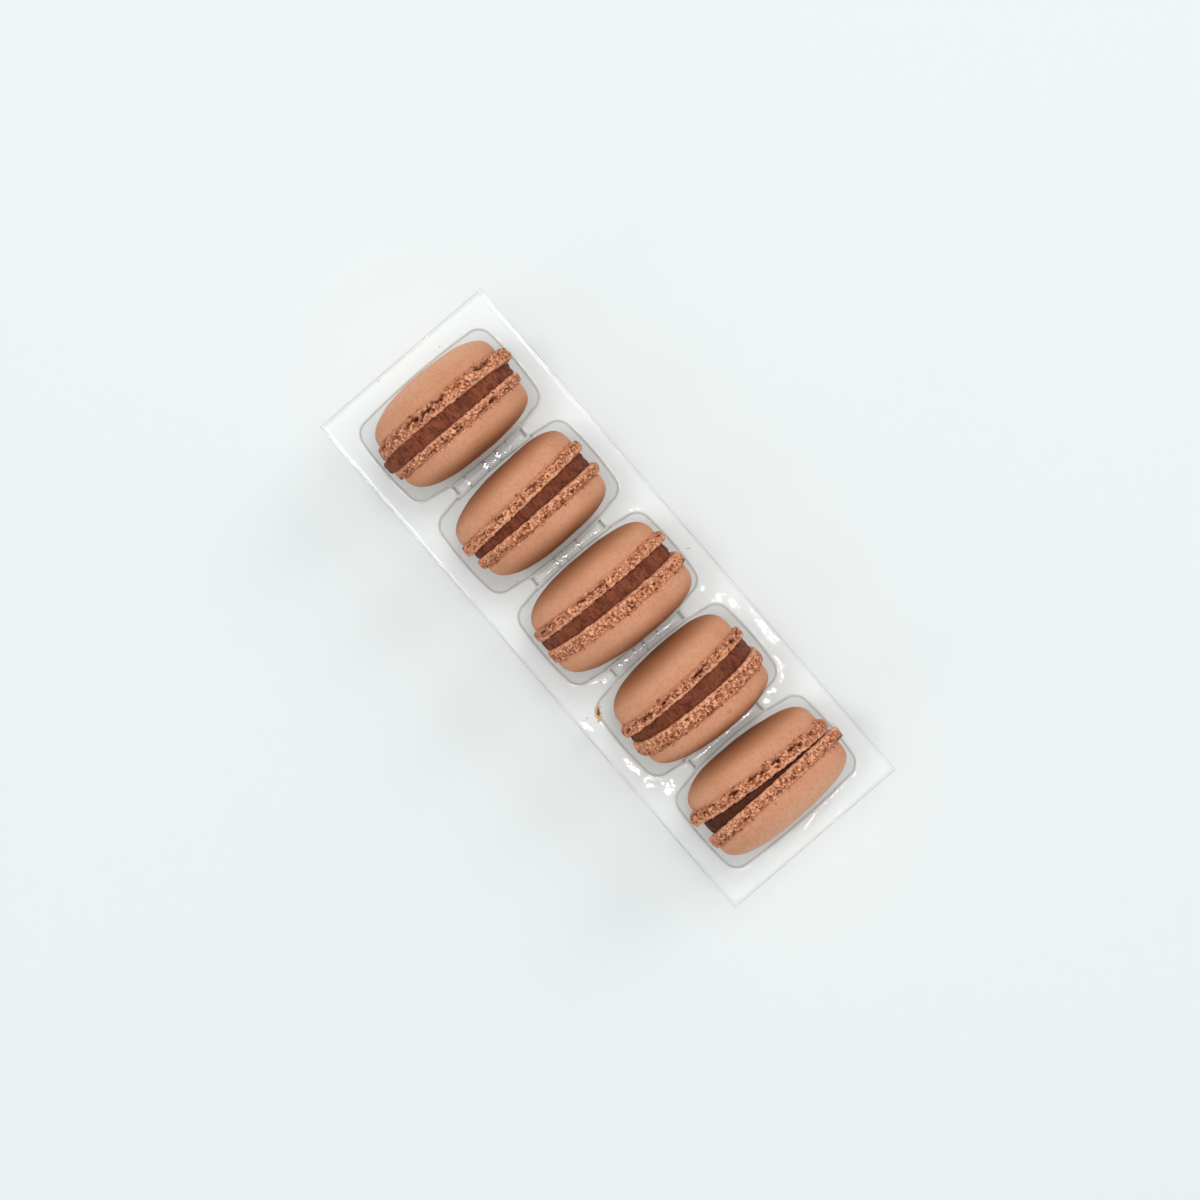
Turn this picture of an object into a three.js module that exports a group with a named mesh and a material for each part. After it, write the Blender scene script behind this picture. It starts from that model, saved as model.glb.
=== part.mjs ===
// Five chocolate macarons that stand on edge in a clear thermoformed tray.
// Millimetres, +Z up. +X runs along the tray from the first macaron to the fifth, and the origin is
// in the middle of the tray's underside.
import * as THREE from 'three';
import { mergeVertices } from 'three/addons/utils/BufferGeometryUtils.js';

// The tray: a flat flange with five pockets, drawn from one sheet
const TRAY_LENGTH = 180;
const TRAY_WIDTH = 60;
const TRAY_HEIGHT = 22;
const SHEET = 0.5;
const POCKET_COUNT = 5;
const POCKET_PITCH = 34.3;

// A pocket's wall line at the height of the flange
const POCKET_HALF_WIDTH = 13.85;
const POCKET_HALF_LENGTH = 23.4;
const POCKET_CORNER = 4.2;
const DIVIDER_BOW = 1.5;
const OUTER_BOW = 0.8;
const END_BOW = 0.5;

// How a pocket's section runs down from its rim
const RIM_RADIUS = 0.8;
const WALL_DRAFT = Math.tan(THREE.MathUtils.degToRad(2));
const FLOOR_SHARE = 0.42;
const SIDE_SQUARENESS = 7;
const END_SQUARENESS = 2.4;
const WALL_STEPS = [0, 0.4, 0.75, 1];
const RIM_ANGLES = [45, 90];
const CORNER_ANGLES = [22.5, 45, 67.5];

// The low saddle in the middle of each divider
const SADDLE_DROP = 9;
const SADDLE_FOOT = 11.2;
const SADDLE_TOP = 13.6;

// The macarons' shells. The rings of a foot are shares of its width.
const SEGMENTS = 34;
const FOOT_SHOULDER = 0.9;
const FOOT_BULGE_FROM = 0.15;
const FOOT_BULGE_TO = 0.75;
const FOOT_NECK = 0.95;
const CAP_EDGE = 1.1;
const NECK_DEPTH = 0.2;
const DOME_STEPS = [15, 35, 55, 75];
const SWELL_ANGLE = 14;
const SWELL_WIDTH = 13;

// The fillings
const FILLING_GAP = 0.2;
const FILLING_BEVEL = 0.4;
const FILLING_BEVEL_SHARE = 0.3;

// The ruffles of a baked edge: how many waves go round, how high they are, and how far they slant
const FOOT_RUFFLE = 0.22;
const FILLING_RUFFLE = 0.12;
const RUFFLE_WAVES = [5, 8, 11, 15];
const RUFFLE_FADE = 0.15;
const RUFFLE_SLANT = 0.13;

// Each shell: where its inner face stands along X, how far it is turned about Z and leans about Y in
// degrees, the width and radius of its foot, the radius and rise of its dome, how full the dome is,
// how far the shell sits to +Y, and how far its foot swells out at its +Y end.
const MACARONS = [
  {
    axis: 24.1,
    left: {
      face: -69.55, turn: 1.4, lean: 1.7, foot: 4.6, radius: 22.7,
      cap: 21.2, rise: 8.5, full: 2.6, shift: 0.4, swell: 1.7,
    },
    right: {
      face: -65.95, turn: 0.7, lean: 4.2, foot: 3.3, radius: 22.3,
      cap: 21.2, rise: 8.5, full: 2.8, shift: -0.1, swell: 0,
    },
    filling: { radius: 22.5, shift: -0.8 },
  },
  {
    axis: 23.6,
    left: {
      face: -35.6, turn: -3.1, lean: 3.2, foot: 3.6, radius: 22.4,
      cap: 21.2, rise: 8.8, full: 2.9, shift: 0.2, swell: 0.2,
    },
    right: {
      face: -32.0, turn: 0, lean: 3.2, foot: 3.4, radius: 21.9,
      cap: 20.5, rise: 8.3, full: 2.8, shift: 0.5, swell: 0.2,
    },
    filling: { radius: 20.6, shift: 0.3 },
  },
  {
    axis: 24.5,
    left: {
      face: -2.6, turn: 0.9, lean: 2.5, foot: 3.4, radius: 23.1,
      cap: 21.8, rise: 8.4, full: 2.7, shift: 0.3, swell: 0.5,
    },
    right: {
      face: 1.2, turn: 2.5, lean: 4.4, foot: 4.4, radius: 23.2,
      cap: 22.5, rise: 9.0, full: 2.8, shift: 0.2, swell: 0.6,
    },
    filling: { radius: 22.1, shift: -0.3 },
  },
  {
    axis: 23.4,
    left: {
      face: 33.1, turn: -0.8, lean: 2.5, foot: 3.5, radius: 22.2,
      cap: 20.8, rise: 9.8, full: 2.8, shift: 0.4, swell: 0,
    },
    right: {
      face: 36.6, turn: 1.7, lean: 5.4, foot: 4.8, radius: 22.2,
      cap: 20.6, rise: 7.7, full: 2.7, shift: 0.4, swell: 0.2,
    },
    filling: { radius: 21.0, shift: 0.3 },
  },
  {
    axis: 25.0,
    left: {
      face: 66.6, turn: 4.0, lean: 0, foot: 4.0, radius: 22.9,
      cap: 21.7, rise: 8.7, full: 2.8, shift: 0.2, swell: 0.8,
    },
    right: {
      face: 69.6, turn: -1.2, lean: -3.5, foot: 4.0, radius: 23.4,
      cap: 22.5, rise: 8.3, full: 2.7, shift: 0.3, swell: 1.9,
    },
    filling: { radius: 20.0, shift: -0.9 },
  },
];

const degrees = THREE.MathUtils.degToRad;

// The height of the flange, or of the saddle that dips between two pockets.
function dividerHeight(y) {
  const climb = (Math.abs(y) - SADDLE_FOOT) / (SADDLE_TOP - SADDLE_FOOT);
  return TRAY_HEIGHT - SADDLE_DROP * (1 - THREE.MathUtils.clamp(climb, 0, 1));
}

// The places on a pocket's wall line where its section is drawn, counter-clockwise. Each has the way
// that the wall faces, the height of its rim, and the point on the edge of the pocket's own stretch of
// flange that lies beyond it.
function pocketStations(edges) {
  const straightX = POCKET_HALF_WIDTH - POCKET_CORNER;
  const straightY = POCKET_HALF_LENGTH - POCKET_CORNER;
  const endY = TRAY_WIDTH / 2;

  const onSide = (side, y) => {
    const outer = Math.abs(edges[side]) > POCKET_PITCH / 2;
    const bow = (outer ? OUTER_BOW : DIVIDER_BOW) * (1 - (y / straightY) ** 2);
    return {
      at: [side * (POCKET_HALF_WIDTH + bow), y],
      facing: [side, 0],
      rim: outer ? TRAY_HEIGHT : dividerHeight(y),
      beyond: [edges[side], y],
    };
  };
  const onEnd = (end, x) => ({
    at: [x, end * (POCKET_HALF_LENGTH + END_BOW * (1 - (x / straightX) ** 2))],
    facing: [0, end],
    rim: TRAY_HEIGHT,
    beyond: [x, end * endY],
  });
  const onCorner = (side, end, angle) => {
    const across = Math.cos(degrees(angle));
    const along = Math.sin(degrees(angle));
    const edgeX = Math.abs(edges[side]);
    const onSideEdge = angle <= 45;
    const share = onSideEdge ? Math.tan(degrees(angle)) : Math.tan(degrees(90 - angle));
    const x = onSideEdge ? edgeX : THREE.MathUtils.lerp(straightX, edgeX, share);
    const y = onSideEdge ? THREE.MathUtils.lerp(straightY, endY, share) : endY;
    return {
      at: [side * (straightX + POCKET_CORNER * across), end * (straightY + POCKET_CORNER * along)],
      facing: [side * across, end * along],
      rim: TRAY_HEIGHT,
      beyond: [side * x, end * y],
    };
  };

  const middle = (SADDLE_FOOT + SADDLE_TOP) / 2;
  const half = [SADDLE_FOOT, middle, SADDLE_TOP, straightY];
  const upwards = [...half.map((y) => -y).reverse(), 0, ...half];
  const downwards = [...upwards].reverse();
  const across = [straightX, 0, -straightX];
  const turn = CORNER_ANGLES;
  const turnBack = [...CORNER_ANGLES].reverse();
  return [
    ...upwards.map((y) => onSide(1, y)),
    ...turn.map((angle) => onCorner(1, 1, angle)),
    ...across.map((x) => onEnd(1, x)),
    ...turnBack.map((angle) => onCorner(-1, 1, angle)),
    ...downwards.map((y) => onSide(-1, y)),
    ...turn.map((angle) => onCorner(-1, -1, angle)),
    ...across.map((x) => onEnd(-1, -x)),
    ...turnBack.map((angle) => onCorner(1, -1, angle)),
  ];
}

// A pocket's section at one station, from its flat floor up the wall, over the rim and out. Its sides
// stand square on the floor, and its ends curve up to follow the macaron.
function pocketSection({ at, facing, rim, beyond }) {
  const endShare = Math.min(1, (at[1] / POCKET_HALF_LENGTH) ** 2);
  const square = THREE.MathUtils.lerp(SIDE_SQUARENESS, END_SQUARENESS, endShare);
  const depth = TRAY_HEIGHT - SHEET;
  const wallTop = rim - RIM_RADIUS;
  const shareLeft = 1 - (wallTop - SHEET) / depth;
  const lastAngle = Math.acos(shareLeft ** (square / 2));
  const onWall = (step) => {
    const angle = lastAngle * step;
    const share = FLOOR_SHARE + (1 - FLOOR_SHARE) * Math.sin(angle) ** (2 / square);
    const z = SHEET + depth * (1 - Math.cos(angle) ** (2 / square));
    const inwards = WALL_DRAFT * (TRAY_HEIGHT - z);
    return [at[0] * share - facing[0] * inwards, at[1] * share - facing[1] * inwards, z];
  };
  const wall = WALL_STEPS.map(onWall);
  const [topX, topY] = wall[wall.length - 1];
  const overRim = RIM_ANGLES.map((angle) => {
    const out = RIM_RADIUS * (1 - Math.cos(degrees(angle)));
    const up = RIM_RADIUS * Math.sin(degrees(angle));
    return [topX + facing[0] * out, topY + facing[1] * out, wallTop + up];
  });
  return [...wall, ...overRim, [...beyond, rim]];
}

// The upper face of one pocket and the flange round it.
function pocketFace(index) {
  const centre = (index - (POCKET_COUNT - 1) / 2) * POCKET_PITCH;
  const edges = {
    1: index === POCKET_COUNT - 1 ? TRAY_LENGTH / 2 - centre : POCKET_PITCH / 2,
    [-1]: index === 0 ? -TRAY_LENGTH / 2 - centre : -POCKET_PITCH / 2,
  };
  const sections = pocketStations(edges).map(pocketSection);
  const rows = sections[0].length;
  const points = [[0, 0, SHEET], ...sections.flat()];
  const faces = [];
  sections.forEach((section, station) => {
    const here = 1 + station * rows;
    const next = 1 + ((station + 1) % sections.length) * rows;
    faces.push(0, here, next);
    for (let row = 0; row < rows - 1; row += 1) {
      faces.push(here + row, here + row + 1, next + row + 1);
      faces.push(here + row, next + row + 1, next + row);
    }
  });
  const face = new THREE.BufferGeometry();
  face.setAttribute('position', new THREE.Float32BufferAttribute(points.flat(), 3));
  face.setIndex(faces);
  return face.translate(centre, 0, 0);
}

// Several faces as one, with the points that they share merged.
function joined(faces) {
  const positions = faces.flatMap((face) => [...face.attributes.position.array]);
  const indices = [];
  let offset = 0;
  for (const face of faces) {
    for (const vertex of face.index.array) indices.push(vertex + offset);
    offset += face.attributes.position.count;
  }
  const all = new THREE.BufferGeometry();
  all.setAttribute('position', new THREE.Float32BufferAttribute(positions, 3));
  all.setIndex(indices);
  return mergeVertices(all, 1e-4);
}

// An open face given the thickness of the sheet, downwards, with its cut edge closed. The flat floors
// stay flat underneath.
function thickened(face, thickness) {
  face.computeVertexNormals();
  const { position, normal } = face.attributes;
  const count = position.count;
  const positions = [...position.array];
  const point = new THREE.Vector3();
  const inwards = new THREE.Vector3();
  for (let i = 0; i < count; i += 1) {
    point.fromBufferAttribute(position, i);
    inwards.fromBufferAttribute(normal, i);
    if (point.z < thickness + 1e-3) inwards.set(0, 0, 1);
    point.addScaledVector(inwards, -thickness);
    positions.push(point.x, point.y, point.z);
  }
  const upper = [...face.index.array];
  const faces = [...upper];
  const used = new Set();
  for (let i = 0; i < upper.length; i += 3) {
    const [a, b, c] = upper.slice(i, i + 3);
    faces.push(a + count, c + count, b + count);
    for (const edge of [[a, b], [b, c], [c, a]]) used.add(edge.join());
  }
  for (const edge of used) {
    const [a, b] = edge.split(',').map(Number);
    if (!used.has([b, a].join())) faces.push(b, a, a + count, b, a + count, b + count);
  }
  const solid = new THREE.BufferGeometry();
  solid.setAttribute('position', new THREE.Float32BufferAttribute(positions, 3));
  solid.setIndex(faces);
  return solid;
}

function trayMesh() {
  const pockets = Array.from({ length: POCKET_COUNT }, (_, index) => pocketFace(index));
  const material = new THREE.MeshStandardMaterial({
    color: 0xe4eae8,
    roughness: 0.12,
    metalness: 0,
    transparent: true,
    opacity: 0.35,
  });
  const mesh = new THREE.Mesh(thickened(joined(pockets), SHEET), material);
  mesh.name = 'tray';
  return mesh;
}

// Uneven but repeatable ruffles round a baked edge: a few waves, each with its own phase.
function ruffle(seed, height) {
  const waves = RUFFLE_WAVES.map((count, i) => ({
    count,
    phase: 2 * Math.PI * THREE.MathUtils.seededRandom(RUFFLE_WAVES.length * seed + i + 1),
    size: height * (1.2 - RUFFLE_FADE * i),
  }));
  return (angle, across) => waves.reduce(
    (sum, { count, phase, size }) => sum + size * Math.sin(count * (angle + across * RUFFLE_SLANT) + phase),
    0,
  );
}

// A body of revolution about X, grown from a profile of [radius, distance along X].
function turned(profile, side) {
  const points = profile.map(([radius, along]) => new THREE.Vector2(radius, along));
  const lathe = new THREE.LatheGeometry(points, SEGMENTS);
  lathe.deleteAttribute('uv');
  lathe.deleteAttribute('normal');
  return mergeVertices(lathe, 1e-4).rotateZ(-side * Math.PI / 2);
}

// Moves each point of a turned body in or out from the X axis by what grow gives for it.
function reshape(geometry, grow) {
  const { position } = geometry.attributes;
  for (let i = 0; i < position.count; i += 1) {
    const [x, y, z] = [position.getX(i), position.getY(i), position.getZ(i)];
    const radius = Math.hypot(y, z);
    const factor = radius > 1 ? 1 + grow(x, Math.atan2(z, y), radius) / radius : 1;
    position.setXYZ(i, x, y * factor, z * factor);
  }
  return geometry;
}

// One baked half: a flat inner face, a ruffled foot and a domed shell. side is -1 or 1, the way that
// the dome points along X.
function shellMesh(shell, side, seed) {
  const dome = DOME_STEPS.map((angle) => [
    shell.cap * Math.cos(degrees(angle)) ** (2 / shell.full),
    shell.foot + shell.rise * Math.sin(degrees(angle)) ** (2 / shell.full),
  ]);
  const profile = [
    [0, 0],
    [shell.radius - FOOT_SHOULDER, 0],
    [shell.radius, FOOT_BULGE_FROM * shell.foot],
    [shell.radius, FOOT_BULGE_TO * shell.foot],
    [shell.cap - NECK_DEPTH, FOOT_NECK * shell.foot],
    [shell.cap, CAP_EDGE * shell.foot],
    ...dome,
    [0, shell.foot + shell.rise],
  ];
  const rough = ruffle(seed, FOOT_RUFFLE);
  const swellAt = degrees(SWELL_ANGLE);
  const geometry = reshape(turned(profile, side), (x, angle, radius) => {
    const onFoot = Math.abs(x) < FOOT_NECK * shell.foot && radius > shell.radius - 2 * FOOT_SHOULDER;
    if (!onFoot) return 0;
    const swell = shell.swell * Math.exp(-(((angle - swellAt) / degrees(SWELL_WIDTH)) ** 2));
    return rough(angle, x) + swell;
  });
  const material = new THREE.MeshStandardMaterial({ color: 0xc58e6c, roughness: 0.75, metalness: 0 });
  const mesh = new THREE.Mesh(geometry, material);
  mesh.position.set(shell.face, shell.shift, 0);
  mesh.rotation.set(0, degrees(shell.lean), -degrees(shell.turn));
  return mesh;
}

// Where a shell's inner face stands along X, at a height z above the macaron's axis.
function innerFace(shell, y, z) {
  const turn = Math.tan(degrees(shell.turn)) * (y - shell.shift);
  const lean = Math.tan(degrees(shell.lean)) * z;
  return shell.face + turn + lean;
}

// The chocolate disc between two shells, pressed to the wedge that they leave.
function fillingMesh({ left, right, filling }, seed) {
  const { radius, shift } = filling;
  const inner = radius - FILLING_BEVEL;
  const profile = [
    [0, 0],
    [inner, 0],
    [radius, FILLING_BEVEL_SHARE],
    [radius, 1 - FILLING_BEVEL_SHARE],
    [inner, 1],
    [0, 1],
  ];
  const rough = ruffle(seed, FILLING_RUFFLE);
  const geometry = reshape(turned(profile, 1), (x, angle) => rough(angle, x));
  const { position } = geometry.attributes;
  for (let i = 0; i < position.count; i += 1) {
    const y = position.getY(i) + shift;
    const z = position.getZ(i);
    const from = innerFace(left, y, z) + FILLING_GAP;
    const to = innerFace(right, y, z) - FILLING_GAP;
    position.setXYZ(i, THREE.MathUtils.lerp(from, to, position.getX(i)), y, z);
  }
  const material = new THREE.MeshStandardMaterial({ color: 0x6b3a2a, roughness: 0.6, metalness: 0 });
  return new THREE.Mesh(geometry, material);
}

const box = new THREE.Group();
box.add(trayMesh());
MACARONS.forEach((macaron, index) => {
  const group = new THREE.Group();
  group.position.z = macaron.axis;
  const pieces = {
    left_shell: shellMesh(macaron.left, -1, 3 * index),
    filling: fillingMesh(macaron, 3 * index + 1),
    right_shell: shellMesh(macaron.right, 1, 3 * index + 2),
  };
  for (const [name, mesh] of Object.entries(pieces)) {
    mesh.name = `macaron_${index + 1}_${name}`;
    group.add(mesh);
  }
  box.add(group);
});

export default box;
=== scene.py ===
"""Five chocolate macarons that stand on edge in a clear thermoformed tray.

Sizes are in millimetres until a mesh is made, and +X runs from the first macaron to the fifth.
"""
import math

import bmesh
import bpy
import numpy as np
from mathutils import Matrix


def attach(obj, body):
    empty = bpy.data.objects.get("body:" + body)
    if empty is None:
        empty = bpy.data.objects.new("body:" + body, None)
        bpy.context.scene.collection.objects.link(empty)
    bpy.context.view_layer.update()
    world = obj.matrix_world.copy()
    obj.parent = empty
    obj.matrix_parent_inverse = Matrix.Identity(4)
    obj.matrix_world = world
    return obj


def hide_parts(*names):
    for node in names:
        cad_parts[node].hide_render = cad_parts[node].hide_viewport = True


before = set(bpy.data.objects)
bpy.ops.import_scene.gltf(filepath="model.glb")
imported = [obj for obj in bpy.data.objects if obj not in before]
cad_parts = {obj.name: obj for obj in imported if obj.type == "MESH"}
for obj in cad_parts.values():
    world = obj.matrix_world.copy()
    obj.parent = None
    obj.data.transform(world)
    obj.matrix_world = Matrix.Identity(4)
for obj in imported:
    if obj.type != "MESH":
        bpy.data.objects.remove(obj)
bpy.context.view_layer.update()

# The tray is one clear sheet, drawn by vacuum over a mould: a flat flange with five pockets. From
# each long side a tongue of flange reaches in between two pockets, and in the middle of the divider
# the sheet dips to a low ribbed saddle. Its cut edge is turned down a little.
MM = 0.001
TRAY_LENGTH, TRAY_WIDTH, FLANGE = 180.0, 60.0, 22.0
SHEET = 0.35
POCKET_PITCH = 34.3
POCKET_HALF_WIDTH, POCKET_HALF_LENGTH, POCKET_CORNER = 13.85, 23.4, 4.2
DIVIDER_BOW, OUTER_BOW, END_BOW = 1.5, 0.8, 0.5
STRAIGHT_X, STRAIGHT_Y = POCKET_HALF_WIDTH - POCKET_CORNER, POCKET_HALF_LENGTH - POCKET_CORNER
RIM_RADIUS = 0.95
WALL_DRAFT = math.tan(math.radians(0.8))
FLOOR_SHARE = 0.42
SIDE_SQUARENESS, END_SQUARENESS = 7.0, 2.4
SADDLE, SADDLE_END, SADDLE_CROWN = 13.0, 11.2, 0.1
STEP_FOOT_RADIUS, STEP_HEAD_RADIUS, STEP_RUN = 0.8, 1.0, 0.25
TONGUE_TIP, TONGUE_FLAT, TONGUE_CORNER = 12.3, 14.4, 1.7
PULL_START, PULL_RISE, PULL_HOLD, PULL_FADE = 9.0, 2.8, 0.6, 5.0
RIB_WIDTH, RIB_WAVER, RIB_FULL = 0.6, 0.35, 0.2
RIBS = [[(7.0, 0.1), (3.1, 0.19), (-1.6, 0.19), (-8.4, 0.12)],
        [(3.8, 0.2), (-1.3, 0.15), (-4.3, 0.22)],
        [(4.4, 0.14), (-0.7, 0.22), (-4.1, 0.17), (-7.4, 0.1), (-9.5, 0.1)],
        [(3.0, 0.06), (-1.5, 0.06)]]
LIP_WIDTH, LIP_DROP = 0.25, 0.22
SWAY_MARGIN = 3.0
CORNER_ANGLES = [7, 14, 21, 28, 35, 40, 45, 50, 56, 63, 70, 77, 84]
FLOOR_SHARES = [0.3, 0.7]
WALL_STEPS = np.linspace(0, 1, 15) ** 0.9
RIM_ANGLES = [22, 45, 68, 90]
FLANGE_SHARES = [0.15, 0.32, 0.5, 0.68, 0.85]
WALL_START = len(FLOOR_SHARES)
RIM_START = WALL_START + len(WALL_STEPS)
FLANGE_START = RIM_START + len(RIM_ANGLES)
OFF_BEND = -9.0
# The cut edge and the tongue's step get a place on the bend that puts the painted dark line, a painted shade, on them.
CUT_EDGE_SHADE_MARK, STEP_SHADE_MARK = 0.1, 0.2


def divider_levels():
    """Half a divider from its middle outwards: (distance along Y, height of the rim), with a steep
    rounded step from the saddle up to the tongue."""
    levels = [(y, SADDLE) for y in np.linspace(0.0, SADDLE_END, 43)]
    for angle in np.radians([-60, -30, -8]):
        levels.append((TONGUE_TIP - STEP_FOOT_RADIUS + STEP_FOOT_RADIUS * math.cos(angle),
                       SADDLE + STEP_FOOT_RADIUS + STEP_FOOT_RADIUS * math.sin(angle)))
    for angle in np.radians([172, 150, 130, 110, 90]):
        levels.append((TONGUE_TIP + STEP_RUN + STEP_HEAD_RADIUS + STEP_HEAD_RADIUS * math.cos(angle),
                       FLANGE - STEP_HEAD_RADIUS + STEP_HEAD_RADIUS * math.sin(angle)))
    levels += [(y, FLANGE) for y in np.linspace(TONGUE_FLAT, STRAIGHT_Y, 7)]
    return levels


def rib_height(x, y):
    """The low ribs that stiffen the saddle at x. They fade and waver a little along X. Each stands at
    a place along Y and has a height."""
    divider = int(x // POCKET_PITCH + 2.5)
    fading = 1 + RIB_WAVER * math.sin(2.1 * x + 5 * divider)
    return sum(height * fading * math.exp(-((y - crest - 0.12 * math.sin(3.3 * x)) / RIB_WIDTH) ** 2)
               for crest, height in RIBS[divider])


def pocket_stations(left_edge, right_edge):
    """Round one pocket, counter-clockwise: point on the wall line, way it faces, height of the rim,
    point on the edge of its own stretch of flange, and how far the tongue's corner pulls it along."""
    half = divider_levels()
    along = [(-y, z) for y, z in reversed(half[1:])] + half
    stations = []

    def on_side(side, y, level):
        edge = right_edge if side > 0 else left_edge
        outer = abs(edge) > POCKET_PITCH / 2 + 0.01
        bow = (OUTER_BOW if outer else DIVIDER_BOW) * (1 - (y / STRAIGHT_Y) ** 2)
        near_tip = (np.clip(1 - (abs(y) - TONGUE_TIP - PULL_HOLD) / PULL_FADE, 0, 1)
                    * np.clip((abs(y) - PULL_START) / PULL_RISE, 0, 1))
        pull = 0.0 if outer else math.copysign(TONGUE_CORNER * near_tip, y)
        stations.append(((side * (POCKET_HALF_WIDTH + bow), y), (side, 0.0),
                         FLANGE if outer else level, (edge, y), pull))

    def on_end(end, x):
        wall = end * (POCKET_HALF_LENGTH + END_BOW * (1 - (x / STRAIGHT_X) ** 2))
        stations.append(((x, wall), (0.0, end), FLANGE, (x, end * TRAY_WIDTH / 2), 0.0))

    def on_corner(side, end, angle):
        across, up = math.cos(math.radians(angle)), math.sin(math.radians(angle))
        edge = abs(right_edge if side > 0 else left_edge)
        if angle <= 45:
            share = math.tan(math.radians(angle))
            beyond = (edge, STRAIGHT_Y + (TRAY_WIDTH / 2 - STRAIGHT_Y) * share)
        else:
            share = math.tan(math.radians(90 - angle))
            beyond = (STRAIGHT_X + (edge - STRAIGHT_X) * share, TRAY_WIDTH / 2)
        wall = (side * (STRAIGHT_X + POCKET_CORNER * across), end * (STRAIGHT_Y + POCKET_CORNER * up))
        stations.append((wall, (side * across, end * up), FLANGE,
                         (side * beyond[0], end * beyond[1]), 0.0))

    lip_angle = math.degrees(math.atan(1 - LIP_WIDTH / (TRAY_WIDTH / 2 - STRAIGHT_Y)))
    corner = sorted(CORNER_ANGLES + [lip_angle])
    across = np.linspace(-STRAIGHT_X, STRAIGHT_X, 17)
    for y, level in along:
        on_side(1, y, level)
    for angle in corner:
        on_corner(1, 1, angle)
    for x in across[::-1]:
        on_end(1, x)
    for angle in reversed(corner):
        on_corner(-1, 1, angle)
    for y, level in reversed(along):
        on_side(-1, y, level)
    for angle in corner:
        on_corner(-1, -1, angle)
    for x in across:
        on_end(-1, x)
    for angle in reversed(corner):
        on_corner(1, -1, angle)
    return stations


def flange_sway(x, y):
    """How far the thin flange lies out of true: soft waves, higher on the half towards +X."""
    waves = (0.05 * np.sin(x / 6.1 + 0.8 * np.sin(y / 7.0)) * np.sin(y / 4.7 + 1.3)
             + 0.03 * np.sin(x / 3.4 + y / 5.2 + 2.0) + 0.025 * np.sin(y / 2.6 - x / 8.0))
    return waves * (1 + 0.6 * np.clip((x - 5) / 20, 0, 1))


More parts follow.
